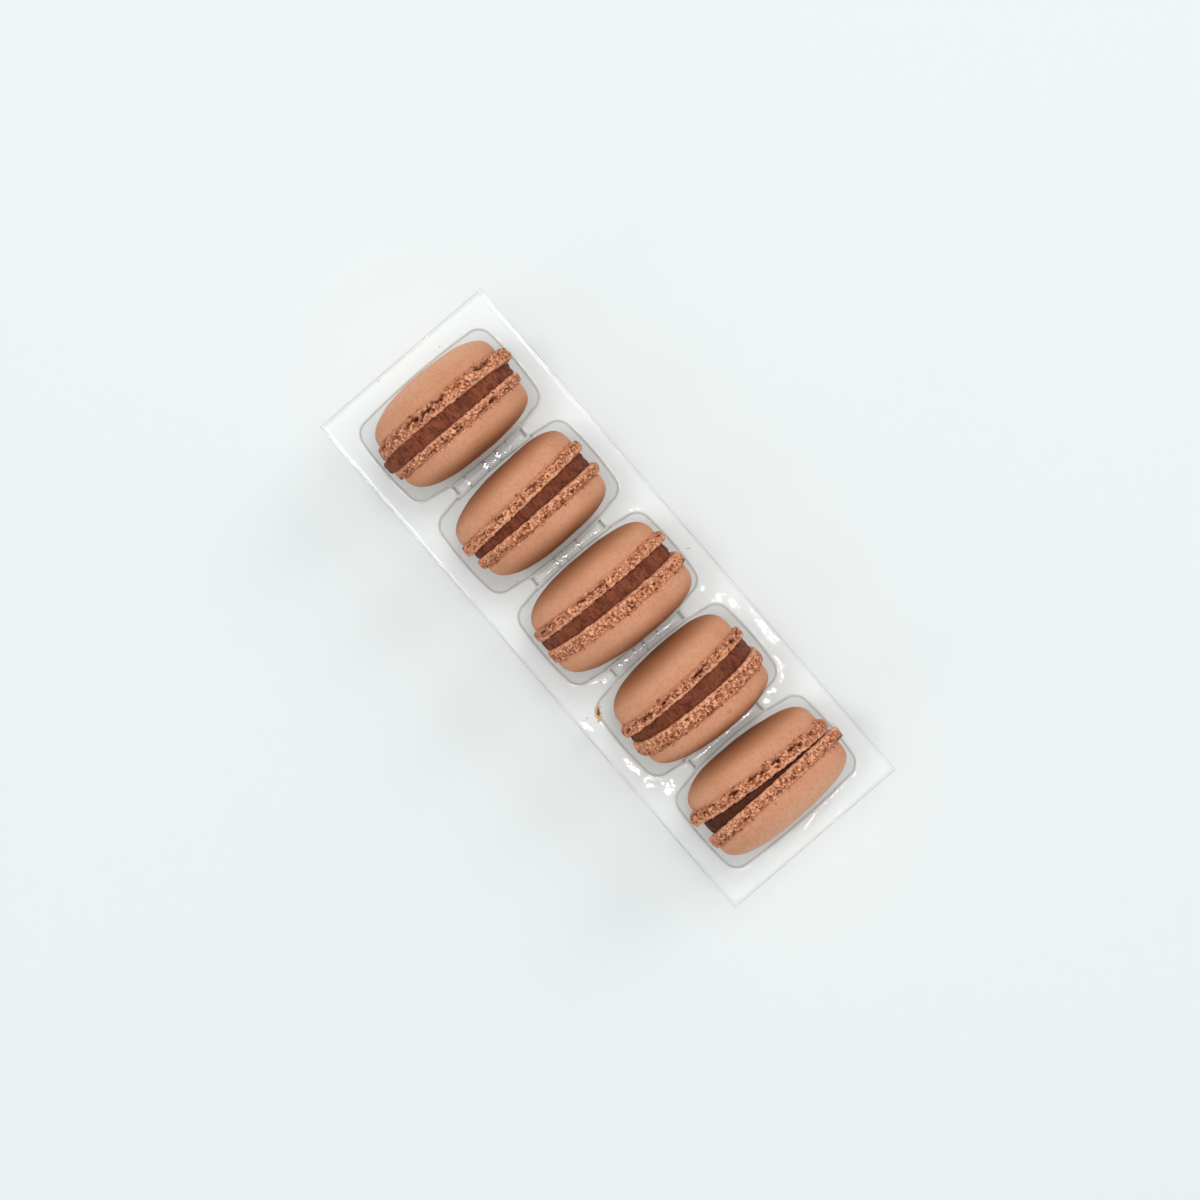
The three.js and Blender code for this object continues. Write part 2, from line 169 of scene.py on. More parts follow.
def pocket_section(station, centre):
    """From the pocket's floor up the wall, over the rim and across the flange to its own edge, as
    rows of (x, y, z, place on the bend, share of a full rib). The place on the bend runs from 0 where
    the wall ends to 1 where the flange starts, is below 0 on the wall and above 1 on the flange. Near 0
    it gets a painted dark line, a painted shade, which the tongue's step and the cut edge get too. The
    share of a full rib gives the rib crests a painted highlight."""
    (x, y), (face_x, face_y), rim, (far_x, far_y), pull = station
    to_end = min(1.0, (y / POCKET_HALF_LENGTH) ** 2)
    square = SIDE_SQUARENESS + (END_SQUARENESS - SIDE_SQUARENESS) * to_end
    on_saddle = rim < SADDLE + 0.1
    depth = FLANGE - SHEET
    top = rim - RIM_RADIUS
    last = math.acos((1 - (top - SHEET) / depth) ** (square / 2))
    points = [(x * FLOOR_SHARE * s, y * FLOOR_SHARE * s, SHEET) for s in FLOOR_SHARES]
    for step in WALL_STEPS:
        share = FLOOR_SHARE + (1 - FLOOR_SHARE) * math.sin(last * step) ** (2 / square)
        z = SHEET + depth * (1 - math.cos(last * step) ** (2 / square))
        inwards = WALL_DRAFT * (FLANGE - z)
        points.append((x * share - face_x * inwards, y * share - face_y * inwards, z))
    wall_x, wall_y = points[-1][:2]
    for angle in np.radians(RIM_ANGLES):
        out = RIM_RADIUS * (1 - math.cos(angle))
        points.append((wall_x + face_x * out, wall_y + face_y * out, top + RIM_RADIUS * math.sin(angle)))
    rim_x, rim_y = points[-1][:2]
    lip = 1 - LIP_WIDTH / math.hypot(far_x - rim_x, far_y - rim_y)
    for share in [s * lip for s in FLANGE_SHARES] + [lip, 1.0]:
        px, py = rim_x + (far_x - rim_x) * share, rim_y + (far_y - rim_y) * share
        edge = min(TRAY_LENGTH / 2 - abs(px + centre), TRAY_WIDTH / 2 - abs(py))
        turned_down = LIP_DROP * np.clip(1 - edge / LIP_WIDTH, 0, 1)
        sway = flange_sway(px + centre, py) * min(1, share * 3) * (rim > FLANGE - 0.5)
        rib = rib_height(px + centre, py) if on_saddle else 0.0
        crown = SADDLE_CROWN * (1 - (1 - share) ** 2) * on_saddle
        points.append((px, py, rim - turned_down + rib + crown + sway * np.clip(edge / SWAY_MARGIN, 0, 1)))
    if pull:
        reach = abs(far_x) - abs(points[RIM_START - 1][0])
        for i in range(WALL_START, len(points) - 1):
            from_middle = abs(far_x) - abs(points[i][0])
            past = np.clip((from_middle - (reach - TONGUE_CORNER)) / TONGUE_CORNER, 0, 1)
            weight = 1.0 if i < RIM_START else 1 - math.sqrt(1 - past * past)
            points[i] = (points[i][0], points[i][1] + pull * weight, points[i][2])
    bend = [OFF_BEND] * WALL_START
    bend += [(p[2] - top) / RIM_RADIUS for p in points[WALL_START:RIM_START]]
    bend += [(i + 1) / len(RIM_ANGLES) for i in range(len(RIM_ANGLES))]
    bend += [1.0 + math.hypot(p[0] - rim_x, p[1] - rim_y) / RIM_RADIUS for p in points[FLANGE_START:]]
    # Painted shade: the tongue's step and the cut edge take the painted dark line of the rim's bend.
    if SADDLE + 0.3 < rim < FLANGE - 0.3:
        bend[FLANGE_START:] = [STEP_SHADE_MARK] * len(bend[FLANGE_START:])
    if abs(far_x + centre) > TRAY_LENGTH / 2 - 0.01 or abs(far_y) > TRAY_WIDTH / 2 - 0.01:
        bend[-1] = CUT_EDGE_SHADE_MARK
    # The share of a full rib only feeds the painted highlight on the rib crests.
    rib_highlight = [rib_height(px + centre, py) / RIB_FULL if on_saddle and i > RIM_START else 0.0
              for i, (px, py, pz) in enumerate(points)]
    return [(px + centre, py, pz, along, rib) for (px, py, pz), along, rib in zip(points, bend, rib_highlight)]


def piece(name, points, faces):
    """A mesh object in metres from points in millimetres."""
    mesh = bpy.data.meshes.new(name)
    mesh.from_pydata((np.asarray(points, float) * MM).tolist(), [], faces)
    mesh.update()
    made = bpy.data.objects.new(name, mesh)
    bpy.context.scene.collection.objects.link(made)
    return made


def mark(made, label, values):
    """Keeps a number for each point of a piece under a name that its look can read."""
    made.data.attributes.new(label, "FLOAT", "POINT").data.foreach_set("value", np.array(values, np.float32))


tray_points, tray_faces = [], []
for pocket in range(5):
    middle = (pocket - 2) * POCKET_PITCH
    left = -TRAY_LENGTH / 2 - middle if pocket == 0 else -POCKET_PITCH / 2
    right = TRAY_LENGTH / 2 - middle if pocket == 4 else POCKET_PITCH / 2
    sections = [pocket_section(station, middle) for station in pocket_stations(left, right)]
    rows, first = len(sections[0]), len(tray_points)
    tray_points.append((middle, 0.0, SHEET, OFF_BEND, 0.0))
    for section in sections:
        tray_points.extend(section)
    for s in range(len(sections)):
        here, after = first + 1 + s * rows, first + 1 + (s + 1) % len(sections) * rows
        tray_faces.append((first, here, after))
        tray_faces.extend((here + r, here + r + 1, after + r + 1, after + r) for r in range(rows - 1))

tray = piece("tray", [p[:3] for p in tray_points], tray_faces)
mark(tray, "up_bend", [p[3] for p in tray_points])
mark(tray, "rib", [p[4] for p in tray_points])
work = bmesh.new()
work.from_mesh(tray.data)
bmesh.ops.remove_doubles(work, verts=work.verts, dist=0.002 * MM)
work.to_mesh(tray.data)
work.free()
tray.data.shade_smooth()
thicken = tray.modifiers.new("sheet", "SOLIDIFY")
thicken.thickness, thicken.offset = SHEET * MM, -1


class Wire:
    """A node's output that can be added, multiplied and compared like a number."""

    def __init__(self, bench, socket):
        self.bench, self.socket = bench, socket

    def sum_with(self, operation, *values):
        return self.bench.node("ShaderNodeMath", {"operation": operation}, list(values))[0]

    def __add__(self, other):
        return self.sum_with("ADD", self, other)

    __radd__ = __add__

    def __mul__(self, other):
        return self.sum_with("MULTIPLY", self, other)

    __rmul__ = __mul__

    def __sub__(self, other):
        return self.sum_with("SUBTRACT", self, other)

    def __rsub__(self, other):
        return self.sum_with("SUBTRACT", other, self)

    def __rtruediv__(self, other):
        return self.sum_with("DIVIDE", other, self)

    def __pow__(self, other):
        return self.sum_with("POWER", self, other)

    def at_most(self, other):
        return self.sum_with("MINIMUM", self, other)

    def at_least(self, other):
        return self.sum_with("MAXIMUM", self, other)

    def step(self, low, high):
        """0 below low and 1 above high, with a soft change between. Low may be the higher one."""
        return self.bench.node("ShaderNodeMapRange", {"interpolation_type": "SMOOTHSTEP"},
                               {"Value": self, "From Min": low, "From Max": high})["Result"]


class Bench:
    """Puts nodes into one tree."""

    def __init__(self, tree):
        self.tree = tree

    def node(self, kind, settings=None, inputs=None):
        made = self.tree.nodes.new(kind)
        for name, value in (settings or {}).items():
            setattr(made, name, value)
        entries = enumerate(inputs) if isinstance(inputs, list) else (inputs or {}).items()
        for name, value in entries:
            if isinstance(value, Wire):
                self.tree.links.new(value.socket, made.inputs[name])
            elif value is not None:
                made.inputs[name].default_value = value
        return Outputs(self, made)

    def scaled(self, vector, factor):
        """A vector times a number or another vector."""
        by = factor if isinstance(factor, (Wire, tuple)) else (factor,) * 3
        return self.node("ShaderNodeVectorMath", {"operation": "MULTIPLY"}, [vector, by])[0]

    def moved(self, vector, by):
        return self.node("ShaderNodeVectorMath", {"operation": "ADD"}, [vector, by])[0]

    def attribute(self, name):
        return self.node("ShaderNodeAttribute", {"attribute_name": name})["Fac"]

    def noise(self, vector, scale, detail, rough=0.5):
        return self.node("ShaderNodeTexNoise", None,
                         {"Vector": vector, "Scale": scale, "Detail": detail, "Roughness": rough})[0]

    def blend(self, share, first, second):
        """One colour into another. Colours are (r, g, b, 1) or wires."""
        mix = self.tree.nodes.new("ShaderNodeMix")
        mix.data_type = "RGBA"
        for socket, value in ((mix.inputs[0], share), (mix.inputs[6], first), (mix.inputs[7], second)):
            if isinstance(value, Wire):
                self.tree.links.new(value.socket, socket)
            else:
                socket.default_value = value
        return Wire(self, mix.outputs[2])


class Outputs:
    """The outputs of a node, by name or number."""

    def __init__(self, bench, made):
        self.bench, self.made = bench, made

    def __getitem__(self, name):
        return Wire(self.bench, self.made.outputs[name])


def finish(name, look):
    """A material whose look is built by a function that gets its bench and returns its shader."""
    material = bpy.data.materials.new(name)
    material.use_nodes = True
    material.node_tree.nodes.clear()
    bench = Bench(material.node_tree)
    bench.node("ShaderNodeOutputMaterial", None, {"Surface": look(bench)})
    return material


def colour(r, g, b):
    """A colour as seen, on a scale of 255, as the light that it stands for."""
    channels = [c / 255 for c in (r, g, b)]
    return tuple(c / 12.92 if c <= 0.04045 else ((c + 0.055) / 1.055) ** 2.4 for c in channels) + (1.0,)


def clear_sheet_look(bench):
    """Clear plastic: mostly see-through, with a glossy skin and the slight ripples of a drawn sheet. A
    grey-green tint gathers where it is seen edge on. Along the bend of the rims it has a painted dark
    line, a painted shade, and the ribs' crests have a painted highlight."""
    place = bench.node("ShaderNodeTexCoord")["Object"]
    broad, fine = bench.noise(place, 230.0, 2.0), bench.noise(place, 900.0, 2.0)
    ripple = bench.node("ShaderNodeBump", None,
                        {"Strength": 0.16, "Distance": 0.0006, "Height": broad + fine * 0.14})["Normal"]
    edge_on = bench.node("ShaderNodeLayerWeight", None, {"Blend": 0.5})["Facing"]
    up_bend = bench.attribute("up_bend")
    # Painted shade: a dark grey-green line where the wall turns into the rim, on the tongue's step and on the cut
    # edge.
    painted_rim_shade = up_bend.step(-0.35, 0.0) * up_bend.step(0.6, 0.35)
    tone = bench.blend((edge_on ** 14).at_least(painted_rim_shade), colour(247, 251, 250), colour(44, 72, 62))
    skin = bench.node("ShaderNodeBsdfPrincipled", None, {
        "Base Color": tone, "Roughness": 0.03, "IOR": 6.0, "Normal": ripple})[0]
    through = bench.node("ShaderNodeBsdfTransparent", None, {"Color": (0.993, 0.996, 0.995, 1)})[0]
    mirror = bench.node("ShaderNodeFresnel", None, {"IOR": 1.5, "Normal": ripple})[0]
    # Painted highlight: the crests of the ribs take more of the whitish glossy skin.
    rib_highlight = bench.attribute("rib").step(0.3, 0.85)
    share = mirror.at_most(0.05) * 0.8 + 0.014 + 0.6 * edge_on ** 26 + 0.42 * painted_rim_shade + 0.55 * rib_highlight
    return bench.node("ShaderNodeMixShader", None, [share, through, skin])[0]


tray.data.materials.append(finish("clear sheet", clear_sheet_look))
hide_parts("tray")
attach(tray, "root")

# A macaron's shell is piped almond meringue. In the oven a smooth dry skin rises as a dome on a craggy
# open foot. Each stands on edge in its pocket, so the foot rings the macaron beside the filling.
SHELL_TURN_STEPS = 640
SWELL_ANGLE, SWELL_WIDTH = math.radians(14), math.radians(13)
KNOB_ANGLE, KNOB_WIDTH = math.radians(172), math.radians(9)
ROUNDNESS = 0.75
FACE_ROLL, WIDEST, NECK_PINCH = 1.0, 0.36, 0.35
NECK, SKIN_START = 0.95, 0.04
FULLER_BELOW = 0.35
FAR_FROM_NECK = 9.0
# face: place of the inner face along X. turn, lean: in degrees. foot: depth of the foot. radius: the
# foot's. cap, rise, full: the dome's radius, height and squareness. swell, knob: where the foot sticks
# out. cavities: how torn the foot is. pale: an end dome, which gets painted light up its top in place
# of the painted shade that the others get. dark: how much painted shade a filling gets.
MACARONS = [
    dict(axis=24.1,
         left=dict(face=-69.55, turn=1.4, lean=1.7, foot=4.6, radius=22.7, cap=21.2, rise=8.5, full=2.6,
                   shift=0.4, swell=1.7, cavities=1.7, pale=True),
         right=dict(face=-65.95, turn=0.7, lean=4.2, foot=3.3, radius=22.3, cap=21.2, rise=8.5, full=2.8,
                    shift=-0.1, swell=0, cavities=1.1),
         filling=dict(radius=22.5, shift=-0.8, dark=0.0)),
    dict(axis=23.6,
         left=dict(face=-35.6, turn=-3.1, lean=3.2, foot=3.6, radius=22.4, cap=21.2, rise=8.8, full=2.9,
                   shift=0.2, swell=0.2, cavities=0.7),
         right=dict(face=-32.0, turn=0, lean=3.2, foot=3.4, radius=21.9, cap=20.5, rise=8.3, full=2.8,
                    shift=0.5, swell=0.2, cavities=0.8),
         filling=dict(radius=20.6, shift=0.3, dark=0.25)),
    dict(axis=24.5,
         left=dict(face=-2.6, turn=0.9, lean=2.5, foot=3.4, radius=23.1, cap=21.8, rise=8.4, full=2.7,
                   shift=0.3, swell=0.5, cavities=1.0),
         right=dict(face=1.2, turn=2.5, lean=4.4, foot=4.4, radius=23.2, cap=22.5, rise=9.0, full=2.8,
                    shift=0.2, swell=0.6, cavities=0.4),
         filling=dict(radius=22.1, shift=-0.3, dark=0.1)),
    dict(axis=23.4,
         left=dict(face=33.1, turn=-0.8, lean=2.5, foot=3.5, radius=22.2, cap=20.8, rise=9.8, full=3.1,
                   shift=0.4, swell=0, cavities=1.2),
         right=dict(face=36.6, turn=1.7, lean=5.4, foot=4.8, radius=22.2, cap=20.6, rise=7.7, full=3.0,
                    shift=0.4, swell=0.2, cavities=0.4),
         filling=dict(radius=21.0, shift=0.3, dark=0.25)),
    dict(axis=25.0,
         left=dict(face=66.6, turn=4.0, lean=0, foot=4.0, radius=22.9, cap=21.7, rise=8.7, full=2.8,
                   shift=0.2, swell=0.8, cavities=1.0, knob=1.1),
         right=dict(face=69.6, turn=-1.2, lean=-3.5, foot=4.0, radius=23.4, cap=22.5, rise=8.3, full=2.8,
                    shift=0.3, swell=1.9, cavities=0.5, pale=True),
         filling=dict(radius=20.0, shift=-0.9, dark=1.0)),
]


def shell_profile(shell, full):
    """Half a shell's outline from the middle of its inner face to the top of its dome, as rows of
    (radius, distance from the inner face). The fuller the dome, the squarer its shoulder."""
    foot, radius, cap = shell["foot"], shell["radius"], shell["cap"]
    rows = [(r, 0.0) for r in (8.0, 14.0, 17.5, 19.0)]
    rows += [(r, 0.0) for r in np.linspace(19.4, radius - FACE_ROLL - 0.15, 9)]
    inner, neck = radius - FACE_ROLL, cap - NECK_PINCH
    for angle in np.linspace(0, math.pi / 2, 14)[1:]:
        rows.append((inner + FACE_ROLL * math.sin(angle) ** ROUNDNESS,
                     WIDEST * foot * (1 - math.cos(angle) ** ROUNDNESS)))
    for angle in np.linspace(0, math.pi / 2, 18)[1:]:
        rows.append((neck + (radius - neck) * math.cos(angle) ** ROUNDNESS,
                     WIDEST * foot + 0.57 * foot * math.sin(angle) ** ROUNDNESS))
    rows += [(cap - 0.25, 0.985 * foot), (cap - 0.1, 1.03 * foot), (cap - 0.02, 1.07 * foot)]
    for angle in np.radians(np.concatenate([np.linspace(2, 30, 12), np.linspace(34, 88, 18)])):
        dome = (shell["rise"] - SKIN_START * foot) * math.sin(angle) ** (2 / full)
        rows.append((cap * math.cos(angle) ** (2 / full), foot * (1 + SKIN_START) + dome))
    return rows, foot + shell["rise"]


def set_upright(points, shell, axis):
    """Turns and leans a shell and puts it in its pocket."""
    lean, turn = math.radians(shell["lean"]), math.radians(-shell["turn"])
    x = points[:, 0] * math.cos(turn) - points[:, 1] * math.sin(turn)
    y = points[:, 0] * math.sin(turn) + points[:, 1] * math.cos(turn)
    z = points[:, 2]
    return np.stack([x * math.cos(lean) + z * math.sin(lean) + shell["face"], y + shell["shift"],
                     -x * math.sin(lean) + z * math.cos(lean) + axis], axis=1)


def ring_faces(rows, steps, flip):
    """Faces between rings of points, with a pole before the first ring and one after the last."""
    faces = []
    last = rows * steps + 1
    for s in range(steps):
        t = (s + 1) % steps
        faces.append((0, 1 + s, 1 + t))
        faces.append((last, 1 + (rows - 1) * steps + t, 1 + (rows - 1) * steps + s))
    grid = np.arange(rows * steps).reshape(rows, steps) + 1
    here, after = grid[:-1], grid[1:]
    quads = np.stack([here, after, np.roll(after, -1, 1), np.roll(here, -1, 1)], -1).reshape(-1, 4)
    faces += quads.tolist()
    return [tuple(reversed(f)) for f in faces] if flip else faces


def shell_piece(name, shell, side, axis):
    """One half before its crust is raised. It keeps how far each point lies past the foot's neck, how
    far from the inner face, and how high up the dome, for painted shade up the dome. On a pale one it
    counts below 0 and gives painted light instead."""
    angles = np.arange(SHELL_TURN_STEPS) * 2 * math.pi / SHELL_TURN_STEPS
    rows, top = shell_profile(shell, shell["full"] + FULLER_BELOW * np.cos(angles))
    off_swell = (angles - SWELL_ANGLE + math.pi) % (2 * math.pi) - math.pi
    off_knob = np.abs(angles - KNOB_ANGLE)
    swell = shell["swell"] * np.exp(-((off_swell / SWELL_WIDTH) ** 2))
    swell = swell + shell.get("knob", 0) * np.exp(-((off_knob / KNOB_WIDTH) ** 2))
    points, past_neck = [(0.0, 0.0, 0.0)], [-FAR_FROM_NECK]
    for radius, along in rows:
        radius, along = np.broadcast_to(radius, angles.shape), np.broadcast_to(along, angles.shape)
        on_foot = (np.clip((radius - shell["radius"] + 2.2) / 1.2, 0, 1)
                   * np.clip((shell["foot"] - along) / 0.6, 0, 1))
        ring = radius + swell * on_foot
        points.extend(np.stack([side * along, ring * np.cos(angles), ring * np.sin(angles)], axis=1))
        behind = np.where(along > 0, along, radius - shell["radius"] + FACE_ROLL)
        past_neck.extend(behind - NECK * shell["foot"])
    points.append((side * top, 0.0, 0.0))
    past_neck.append(FAR_FROM_NECK)
    made = piece(name, set_upright(np.array(points), shell, axis),
                 ring_faces(len(rows), SHELL_TURN_STEPS, side > 0))
    from_face = np.array(past_neck, np.float32) + NECK * shell["foot"]
    mark(made, "past_neck", past_neck)
    mark(made, "from_face", from_face)
    # How high up the dome, for painted shade, or below 0 for painted light on a pale one.
    mark(made, "dome_painted_shading", np.clip((from_face - shell["foot"]) / shell["rise"], 0, 1)
         * (-1 if shell.get("pale") else 1))
    made.data.shade_smooth()
    return made


def tree_of(name, *sizes):
    """A geometry tree with named sizes as its inputs, its bench, its inputs' outputs and their ids."""
    tree = bpy.data.node_groups.new(name, "GeometryNodeTree")
    tree.interface.new_socket("Geometry", in_out="INPUT", socket_type="NodeSocketGeometry")
    ids = {}
    for size, value in sizes:
        entry = tree.interface.new_socket(size, in_out="INPUT", socket_type="NodeSocketFloat")
        entry.default_value = value
        ids[size] = entry.identifier
    tree.interface.new_socket("Geometry", in_out="OUTPUT", socket_type="NodeSocketGeometry")
    bench = Bench(tree)
    return tree, bench, bench.node("NodeGroupInput"), ids


def named(bench, name):
    return bench.node("GeometryNodeInputNamedAttribute", {"data_type": "FLOAT"}, {"Name": name})["Attribute"]


def kept(bench, geometry, name, value):
    return bench.node("GeometryNodeStoreNamedAttribute", {"data_type": "FLOAT", "domain": "POINT"},
                      {"Geometry": geometry, "Name": name, "Value": value})["Geometry"]


def sent_out(bench, geometry, material):
    real = bench.node("GeometryNodeRealizeInstances", None, [geometry])[0]
    bench.node("NodeGroupOutput", None, [bench.node("GeometryNodeSetMaterial", None, {
        "Geometry": real, "Material": material})["Geometry"]])


def crust_tree(material):
    """Raises a craggy foot: lumps, two sizes of open pore, and torn cavities under the skin's edge."""
    tree, bench, entry, ids = tree_of("craggy foot", ("Pore size", 1.25), ("Pore depth", 1.2),
                                      ("Cavity depth", 1.0), ("Lump height", 0.8), ("Seed", 0.0))
    place = bench.scaled(bench.node("GeometryNodeInputPosition")[0], 1 / MM)
    seed = entry["Seed"]
    spot = bench.moved(place, bench.node("ShaderNodeCombineXYZ", None, [seed * 17.3, seed * 9.1, seed * 23.7])[0])
    wander = bench.node("ShaderNodeTexNoise", None, {"Vector": spot, "Scale": 0.9, "Detail": 2.0})["Color"]
    warped = bench.moved(spot, bench.scaled(bench.moved(wander, (-0.5, -0.5, -0.5)), 1.8))

    def pores(vector, size, open_share, wide=0.44):
        cell = bench.node("ShaderNodeTexVoronoi", {"feature": "F1"}, {"Vector": vector, "Scale": 1.0 / size})
        luck = bench.node("ShaderNodeSeparateXYZ", None, [cell["Color"]])[0]
        return (cell["Distance"].step(wide - 0.28 * luck, wide - 0.28 - 0.16 * luck)
                * luck.step(open_share, open_share - 0.1))

    true_neck = named(bench, "past_neck")
    ragged_neck = true_neck + (bench.noise(spot, 0.5, 3.0) - 0.5) * 4.4
    crust = ragged_neck.step(0.25, -0.2)
    off_rim = named(bench, "from_face").step(0.0, 1.1)
    deep = entry["Cavity depth"]
    near_skin = ragged_neck.step(-0.9 - 0.7 * deep, -0.4 - 0.5 * deep) * true_neck.step(-0.1, -0.4)
    coarse = pores(warped, entry["Pore size"], 0.75)
    small = pores(warped, entry["Pore size"] * 0.52, 0.7)
    torn = pores(bench.scaled(warped, (1.0, 0.5, 0.5)), 2.1, 0.3 + 0.45 * deep, 0.5 + 0.13 * deep)
    torn = torn * near_skin * deep.at_most(1.0)
    on_foot = true_neck.step(0.1, -0.35)
    lumps = (bench.noise(spot, 0.55, 4.0, 0.62) - 0.52) * 2 * entry["Lump height"] * (0.35 + 0.65 * on_foot)
    open_pores = coarse * (0.25 + 0.75 * off_rim) + small * 0.5 * (0.3 + 0.7 * off_rim)
    height = lumps - open_pores * entry["Pore depth"] * on_foot - torn * deep * 1.15
    skin = (bench.noise(spot, 0.11, 1.0) - 0.5) * 0.5
    rise = (height * crust + skin * (1 - crust)) * MM
    geometry = entry["Geometry"]
    # The pore and torn marks carry where the look paints shade into the foot's hollows.
    for label, value in (("crust", crust), ("torn", torn * crust), ("pore", coarse.at_least(small * 0.7) * crust)):
        geometry = kept(bench, geometry, label, value)
    raised = bench.node("GeometryNodeSetPosition", None, {
        "Geometry": geometry, "Offset": bench.scaled(bench.node("GeometryNodeInputNormal")[0], rise)})["Geometry"]
    sent_out(bench, raised, material)
    return tree, ids


def grown(made, tree, ids, **sizes):
    """Runs a geometry tree on a piece and keeps the result as its plain mesh."""
    modifier = made.modifiers.new("grown", "NODES")
    modifier.node_group = tree
    for size, value in sizes.items():
        modifier[ids[size.replace("_", " ").capitalize()]] = float(value)
    bpy.context.view_layer.update()
    plain = bpy.data.meshes.new_from_object(made.evaluated_get(bpy.context.evaluated_depsgraph_get()))
    plain.name = made.name
    made.modifiers.remove(modifier)
    made.data = plain
    return made


def baked_look(bench):
    """Baked almond meringue: a dry tan skin with faint mottling and pimples, browned up the dome by
    painted shade or lightened on a pale one by painted light, and a cracked foot with toasted ridges
    whose cracks, pores and torn cavities are darkened by painted shade."""
    place = bench.node("ShaderNodeTexCoord")["Object"]
    crust, pore, torn, from_face, dome_painted_shading = [
        bench.attribute(label) for label in ("crust", "pore", "torn", "from_face", "dome_painted_shading")]
    cloud, mottle, grain = (bench.noise(place, 70.0, 3.0), bench.noise(place, 1000.0, 4.0, 0.65),
                            bench.noise(place, 1900.0, 2.0))
    skin = bench.blend(cloud.step(0.35, 0.7), colour(211, 153, 120), colour(203, 144, 110))
    # Painted shade browns the dome up towards its top. On a pale end dome, painted light lightens it instead.
    skin = bench.blend(dome_painted_shading.step(0.35, 0.95), skin, colour(176, 117, 80))
    skin = bench.blend(dome_painted_shading.step(-0.3, -0.95) * 0.8, skin, colour(240, 184, 150))
    skin = bench.blend(mottle.step(0.42, 0.72) * 0.4, skin, colour(180, 116, 80))
    fleck = bench.node("ShaderNodeTexVoronoi", {"feature": "F1"}, {"Vector": place, "Scale": 260.0})
    luck = bench.node("ShaderNodeSeparateXYZ", None, [fleck["Color"]])[0]
    skin = bench.blend(fleck["Distance"].step(0.12, 0.04) * luck.step(0.9, 0.93) * 0.7, skin, colour(120, 66, 44))
    pimple = fleck["Distance"].step(0.16, 0.02) * luck.step(0.12, 0.08)
    skin = bench.blend(pimple * 0.4, skin, colour(226, 156, 112))
    browned = bench.noise(place, 1100.0, 3.0, 0.65).step(0.36, 0.66)
    toast = bench.blend(browned, colour(250, 184, 145), colour(170, 93, 56))
    toast = bench.blend(from_face.step(0.9, 0.2) * 0.6, toast, colour(222, 164, 130))
    # Painted shade: the cracks, pores and torn cavities of the foot are darkened.
    off_line = bench.noise(bench.scaled(place, (1.0, 0.7, 0.7)), 900.0, 3.0, 0.6) - 0.5
    crack = (off_line * off_line).step(0.0014, 0.0001) * from_face.step(0.5, 1.2)
    toast = bench.blend(crack * 0.75, toast, colour(128, 54, 24))
    toast = bench.blend(pore ** 0.6 * 0.97, toast, colour(112, 41, 15))
    toast = bench.blend(torn ** 0.5, toast, colour(76, 28, 13))
    surface = bench.blend(crust, skin, toast)
    bumps = bench.noise(place, 1300.0, 2.0) * (0.35 + 0.65 * crust) + mottle * 0.4 - crack * crust * 0.8
    relief = bench.node("ShaderNodeBump", None, {"Strength": 0.6, "Distance": 0.0002, "Height": bumps})["Normal"]
    return bench.node("ShaderNodeBsdfPrincipled", None, {
        "Base Color": surface, "Roughness": 0.78 + 0.12 * grain, "Specular IOR Level": 0.12, "Normal": relief})[0]


baked_shell = finish("baked shell", baked_look)
crust, crust_ids = crust_tree(baked_shell)
for number, macaron in enumerate(MACARONS, 1):
    for side, half in ((-1, "left"), (1, "right")):
        shell = macaron[half]
        node = f"macaron_{number}_{half}_shell"
        made = shell_piece(node + "_baked", shell, side, macaron["axis"])
        grown(made, crust, crust_ids, seed=2 * number + (side > 0), cavity_depth=shell["cavities"])
        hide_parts(node)
        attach(made, "root")

# The filling is a soft chocolate ganache, piped on one half and pressed out by the other. It stops
# a little short of the feet, with rounded edges, so a dark line shows on either side of it.
FILLING_STEPS = 420
FILLING_EDGE, FILLING_GAP, EDGE_ROUNDNESS = 0.75, 0.03, 0.55


def inner_face(shell, y, z):
    """Where a shell's inner face stands along X, at a height z above the macaron's axis."""
    return (shell["face"] + math.tan(math.radians(shell["turn"])) * (y - shell["shift"])
            + math.tan(math.radians(shell["lean"])) * z)


def filling_piece(name, macaron):
    """The disc between two shells, pressed to the wedge that they leave."""
    radius, shift = macaron["filling"]["radius"], macaron["filling"]["shift"]
    angles = np.arange(FILLING_STEPS) * 2 * math.pi / FILLING_STEPS
    rows = [(0.0, r) for r in (6.0, 12.0, 17.0, radius - 2.0, radius - 1.2)]
    for turn in np.linspace(0, math.pi, 26):
        rows.append((0.5 - 0.5 * math.copysign(abs(math.cos(turn)) ** EDGE_ROUNDNESS, math.cos(turn)),
                     radius - FILLING_EDGE + FILLING_EDGE * math.sin(turn) ** EDGE_ROUNDNESS))
    rows += [(1.0, r) for r in (radius - 1.2, radius - 2.0, 17.0, 12.0, 6.0)]
    points = []
    for share, ring in [(0.0, 0.0)] + rows + [(1.0, 0.0)]:
        turns = angles if ring > 0 else angles[:1]
        y, z = ring * np.cos(turns) + shift, ring * np.sin(turns)
        start = inner_face(macaron["left"], y, z) + FILLING_GAP
        end = inner_face(macaron["right"], y, z) - FILLING_GAP
        points.extend(np.stack([start + (end - start) * share, y, z + macaron["axis"]], axis=1))
    made = piece(name, points, ring_faces(len(rows), FILLING_STEPS, True))
    # How much painted shade the filling gets where it sits deep between its shells.
    mark(made, "dark", np.full(len(points), macaron["filling"]["dark"]))
    made.data.shade_smooth()
    return made


